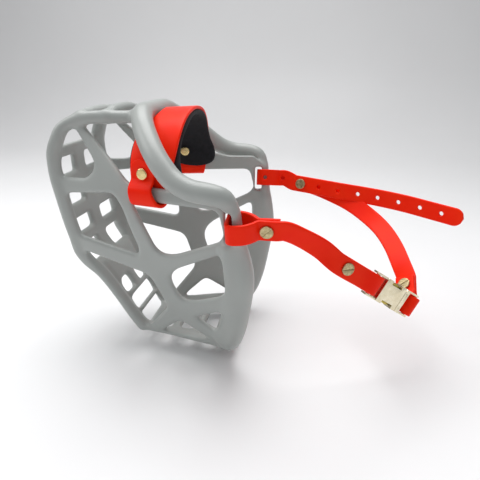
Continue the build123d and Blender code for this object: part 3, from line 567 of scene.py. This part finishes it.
def drill(obj, holes, radius, reach):
    """Round holes through a piece; a hole is a point and a direction, in millimetres."""
    bm = bmesh.new()
    for spot, direction in holes:
        turn = Vector(direction).to_track_quat("Z", "Y").to_matrix().to_4x4()
        bmesh.ops.create_cone(bm, cap_ends=True, segments=24, radius1=radius * MM, radius2=radius * MM,
                              depth=2 * reach * MM, matrix=Matrix.Translation(Vector(spot) * MM) @ turn)
    cutter = bpy.data.objects.new("cutter", bpy.data.meshes.new("cutter"))
    bm.to_mesh(cutter.data)
    bm.free()
    bpy.context.scene.collection.objects.link(cutter)
    change = obj.modifiers.new("holes", "BOOLEAN")
    change.operation, change.object, change.solver = "DIFFERENCE", cutter, "EXACT"
    bpy.context.view_layer.update()
    done = bpy.data.meshes.new_from_object(obj.evaluated_get(bpy.context.evaluated_depsgraph_get()))
    obj.modifiers.clear()
    obj.data = done
    bpy.data.objects.remove(cutter)


def spaced(stations, start, pitch, count):
    """Points on a band's middle at equal distances, with the band's normal there."""
    s = spline([[*c, *d] for c, d in stations], 0.5)
    run = np.concatenate([[0], np.cumsum(np.linalg.norm(np.diff(s[:, :3], axis=0), axis=1))])
    found = []
    for k in range(count):
        i = int(np.searchsorted(run, start + pitch * k))
        found.append((s[i, :3], np.cross(unit(s[i + 1, :3] - s[i - 1, :3]), unit(s[i, 3:6]))))
    return found


HOLE_PITCH, HOLE_R = 16, 1.6
holes = spaced(far_inner + TAIL_RUN, FLAT[-1] + HOLE_PITCH, HOLE_PITCH, 7)
holes += [(at_slot(1, 15, -LAYER), V(0, 1, -0.23)), (at_slot(1, 1, -8.6), V(0, 1, -0.23))]
drill(tail_band, holes, HOLE_R, 3.0)
finish_piece(tail_band, RED, "strap_coating", "strap_loop", "head_strap")
finish_piece(cheek_band, RED, "strap_coating", "strap_loop", "cheek_strap")
finish_piece(head_band, RED, "strap_coating", None, "head_strap", "head_strap_end")
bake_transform(head_band)

# ------------------------------------------------------------ noseband
# front and rear edge of the red band on the far side: the folded tab, then the arch up to the crown
TAB = [((-28.5, 46.0, 136.5), (-13.5, 49.8, 136.5)), ((-29, 45.9, 131.5), (-12, 50.0, 131.5)),
       ((-29, 45.9, 123.6), (-12.5, 50.2, 123.6)), ((-29, 52.3, 118.5), (-12.5, 56.6, 118.5)),
       ((-28.6, 52.6, 112.8), (-10.5, 57.2, 112.8)), ((-28, 51.2, 109.6), (-8.5, 56.2, 109.6)),
       ((-27.5, 47.6, 108.2), (-6.5, 52.9, 108.2)), ((-27.5, 44.2, 109.6), (-5, 49.8, 109.6)),
       ((-28, 42.8, 112.8), (-4, 48.8, 112.8)), ((-29, 42.8, 118.5), (-2.8, 49.0, 118.5)),
       ((-29.6, 43.0, 124.5), (-1.8, 49.2, 124.5)), ((-30, 42.6, 131.5), (-0.8, 48.2, 131.5))]
ARCH = [((-30, 38.8, 139), (0.6, 44.6, 139.5)), ((-29.5, 31.0, 147), (1.6, 38.4, 148.6)),
        ((-27, 23.0, 153.5), (2.3, 31.0, 155.6)), ((-22, 15.5, 158.2), (2.8, 22.5, 160.4)),
        ((-19.5, 8.0, 161.6), (3, 12.0, 163.0)), ((-19, 0.0, 162.8), (3.0, 0.0, 164.0))]
# the same edges for the foam under it
PAD = [((-14, 46.5, 115.5), (-7, 47.9, 115.5)), ((-22, 44.8, 116.8), (-1, 49.0, 116.8)),
       ((-28, 43.4, 119.6), (3.0, 49.8, 119.6)), ((-31, 42.7, 124.5), (4.2, 50.0, 124.5)),
       ((-32.2, 42.0, 131), (3.6, 49.2, 131)), ((-32.4, 38.6, 138.5), (2, 45.0, 138.5)),
       ((-31.8, 30.6, 146.8), (1.6, 38.2, 148.2)), ((-28.4, 22.6, 152.6), (2.4, 31.0, 155.2)),
       ((-21.5, 15.6, 157.4), (2.9, 22.6, 160.2)), ((-19, 8.2, 161.4), (3.1, 12, 163)),
       ((-18.5, 0, 162.6), (3.1, 0, 164))]


def flipped(pairs):
    """The same edges on the near side."""
    return [tuple((x, -y, z) for x, y, z in pair) for pair in pairs]


def edge_band(name, pairs, thick, lift=0.0, **more):
    """A band between two edges, moved inward by lift."""
    s = spline([[*f, *r] for f, r in pairs], 1.5)
    front, rear = s[:, :3], s[:, 3:6]
    centre, across = (front + rear) / 2, unit(rear - front)
    half = np.linalg.norm(rear - front, axis=1) / 2
    normal = unit(np.cross(unit(np.gradient(centre, axis=0)), across))
    stations = [(c - n * lift, a, h) for c, a, h, n in zip(centre, across, half, normal)]
    return band(name, stations, thick, skew=True, **more)


band_edges = TAB + ARCH
noseband = edge_band("noseband_band", band_edges + flipped(band_edges[-2::-1]), 2.2, tips=(7.5, 7.5))
pad = edge_band("noseband_pad", PAD + flipped(PAD[:-1][::-1]), 3.2, lift=2.9, round_r=1.5, tips=(1.5, 1.5),
                step=0.28, ribs=(1.15, 0.16))
finish_piece(noseband, RED, "strap_coating", "basket", "noseband_strap")
finish_piece(pad, FOAM, "foam", "basket", "noseband_foam")

# ------------------------------------------------------------ metal pieces: the CAD shapes with broken edges
def softened(nodes, width):
    """Bevelled copies of CAD pieces; nodes are rows of node, material and slot."""
    for name, paint, slot in nodes:
        source = frame["nodes"][name]
        piece = bpy.data.objects.new("fine_" + name, source.data.copy())
        bpy.context.scene.collection.objects.link(piece)
        bm = bmesh.new()
        bm.from_mesh(piece.data)
        bmesh.ops.remove_doubles(bm, verts=bm.verts, dist=1e-6)
        bmesh.ops.dissolve_limit(bm, angle_limit=math.radians(2), verts=bm.verts, edges=bm.edges)
        bm.to_mesh(piece.data)
        bm.free()
        bevel = piece.modifiers.new("bevel", "BEVEL")
        bevel.width, bevel.segments = width * MM, 2
        bevel.limit_method, bevel.angle_limit = "ANGLE", 0.6
        bevel.use_clamp_overlap = True
        bpy.context.view_layer.update()
        done = bpy.data.meshes.new_from_object(piece.evaluated_get(bpy.context.evaluated_depsgraph_get()))
        piece.modifiers.clear()
        piece.data = done
        piece.data.shade_smooth()
        piece.data.set_sharp_from_angle(angle=math.radians(50))
        body = [b for b, names in frame["record"]["behaviour"]["bodies"].items() if name in names][0]
        finish_piece(piece, paint, slot, body, name)


softened([("buckle_housing", SATIN, "buckle_metal"), ("buckle_insert", SATIN, "buckle_metal"),
          ("prong_pins", SATIN, "buckle_metal"), ("prong_upper", PRONG, "prong_brass"),
          ("prong_lower", PRONG, "prong_brass")], 0.3)
for kind in ("cap", "back"):
    softened([(f"rivet_{kind}_{cheek_name}", GOLD, "rivet_brass") for cheek_name in ("near", "far")], 0.15)
for screw_place in ("cheek_slot", "cheek_buckle", "head_slot", "head_end"):
    softened([(f"{screw_place}_{kind}", ANTIQUE, "screw_brass") for kind in ("post", "screw")], 0.12)

# ------------------------------------------------------------ floor, light and camera
# the floor curves up into a backdrop; its line is y and z
floor_line = [(-1.2, 0), (0.55, 0), (0.75, 0.03), (0.88, 0.12), (0.95, 0.28), (0.97, 0.6), (0.97, 1.6)]
floor_points = spline([[a, b, 0] for a, b in floor_line], 0.04)
verts = [(x, a, b) for a, b, _ in floor_points for x in (-2.5, 2.5)]
faces = [(2 * i, 2 * i + 1, 2 * i + 3, 2 * i + 2) for i in range(len(floor_points) - 1)]
floor = make_mesh("floor", verts, faces)
WHITE, tree, bsdf = material("paper", (0.86, 0.86, 0.865), 0.55)
place = mottled(tree, bsdf, (0.85, 0.85, 0.855), (0.875, 0.875, 0.88), 3)
# painted shade: the paper's colour darkens further back, towards the backdrop behind the object, standing in
# for the less light that reaches it
split = node(tree, "ShaderNodeSeparateXYZ")
backdrop_painted_shade = node(tree, "ShaderNodeMapRange", From_Min=0.1, From_Max=0.95, To_Min=1.0, To_Max=0.62)
shade = node(tree, "ShaderNodeVectorMath")
shade.operation = "SCALE"
paper_color = bsdf.inputs["Base Color"].links[0].from_socket
tree.links.new(place.outputs["Object"], split.inputs["Vector"])
tree.links.new(split.outputs["Y"], backdrop_painted_shade.inputs["Value"])
tree.links.new(paper_color, shade.inputs[0])
tree.links.new(backdrop_painted_shade.outputs["Result"], shade.inputs["Scale"])
tree.links.new(shade.outputs["Vector"], bsdf.inputs["Base Color"])
floor.data.materials.append(WHITE)


def area_light(name, spot, aim, size, power):
    """A square soft light at spot that shines at aim."""
    data = bpy.data.lights.new(name, "AREA")
    data.shape, data.size, data.energy = "SQUARE", size, power
    lamp = bpy.data.objects.new(name, data)
    lamp.location = spot
    lamp.rotation_mode = "QUATERNION"
    lamp.rotation_quaternion = (Vector(aim) - Vector(spot)).to_track_quat("-Z", "Y")
    bpy.context.scene.collection.objects.link(lamp)


area_light("above", (-0.10, 0.30, 1.1), (0.03, 0.0, 0.05), 0.9, 12.0)
area_light("left", (-0.9, -0.1, 0.75), (0.0, 0.0, 0.08), 0.6, 3.0)
world = bpy.data.worlds.new("studio")
world.use_nodes = True
world.node_tree.nodes["Background"].inputs["Color"].default_value = (0.97, 0.98, 1.0, 1)
world.node_tree.nodes["Background"].inputs["Strength"].default_value = 0.45
bpy.context.scene.world = world
bpy.context.scene.view_settings.view_transform = "Standard"

cam_data = bpy.data.cameras.new("camera")
cam_data.lens, cam_data.sensor_width = 36.0, 36.0
camera = bpy.data.objects.new("camera", cam_data)
right, up = Vector((0.98591, 0.16725, 0)), Vector((-0.05709, 0.33651, 0.93995))
ahead = Vector((-0.1572, 0.92671, -0.34132))
turn = Matrix((right, up, -ahead)).transposed().to_4x4()
camera.matrix_world = Matrix.Translation((0.088827, -0.329096, 0.190709)) @ turn
bpy.context.scene.collection.objects.link(camera)
bpy.context.scene.camera = camera
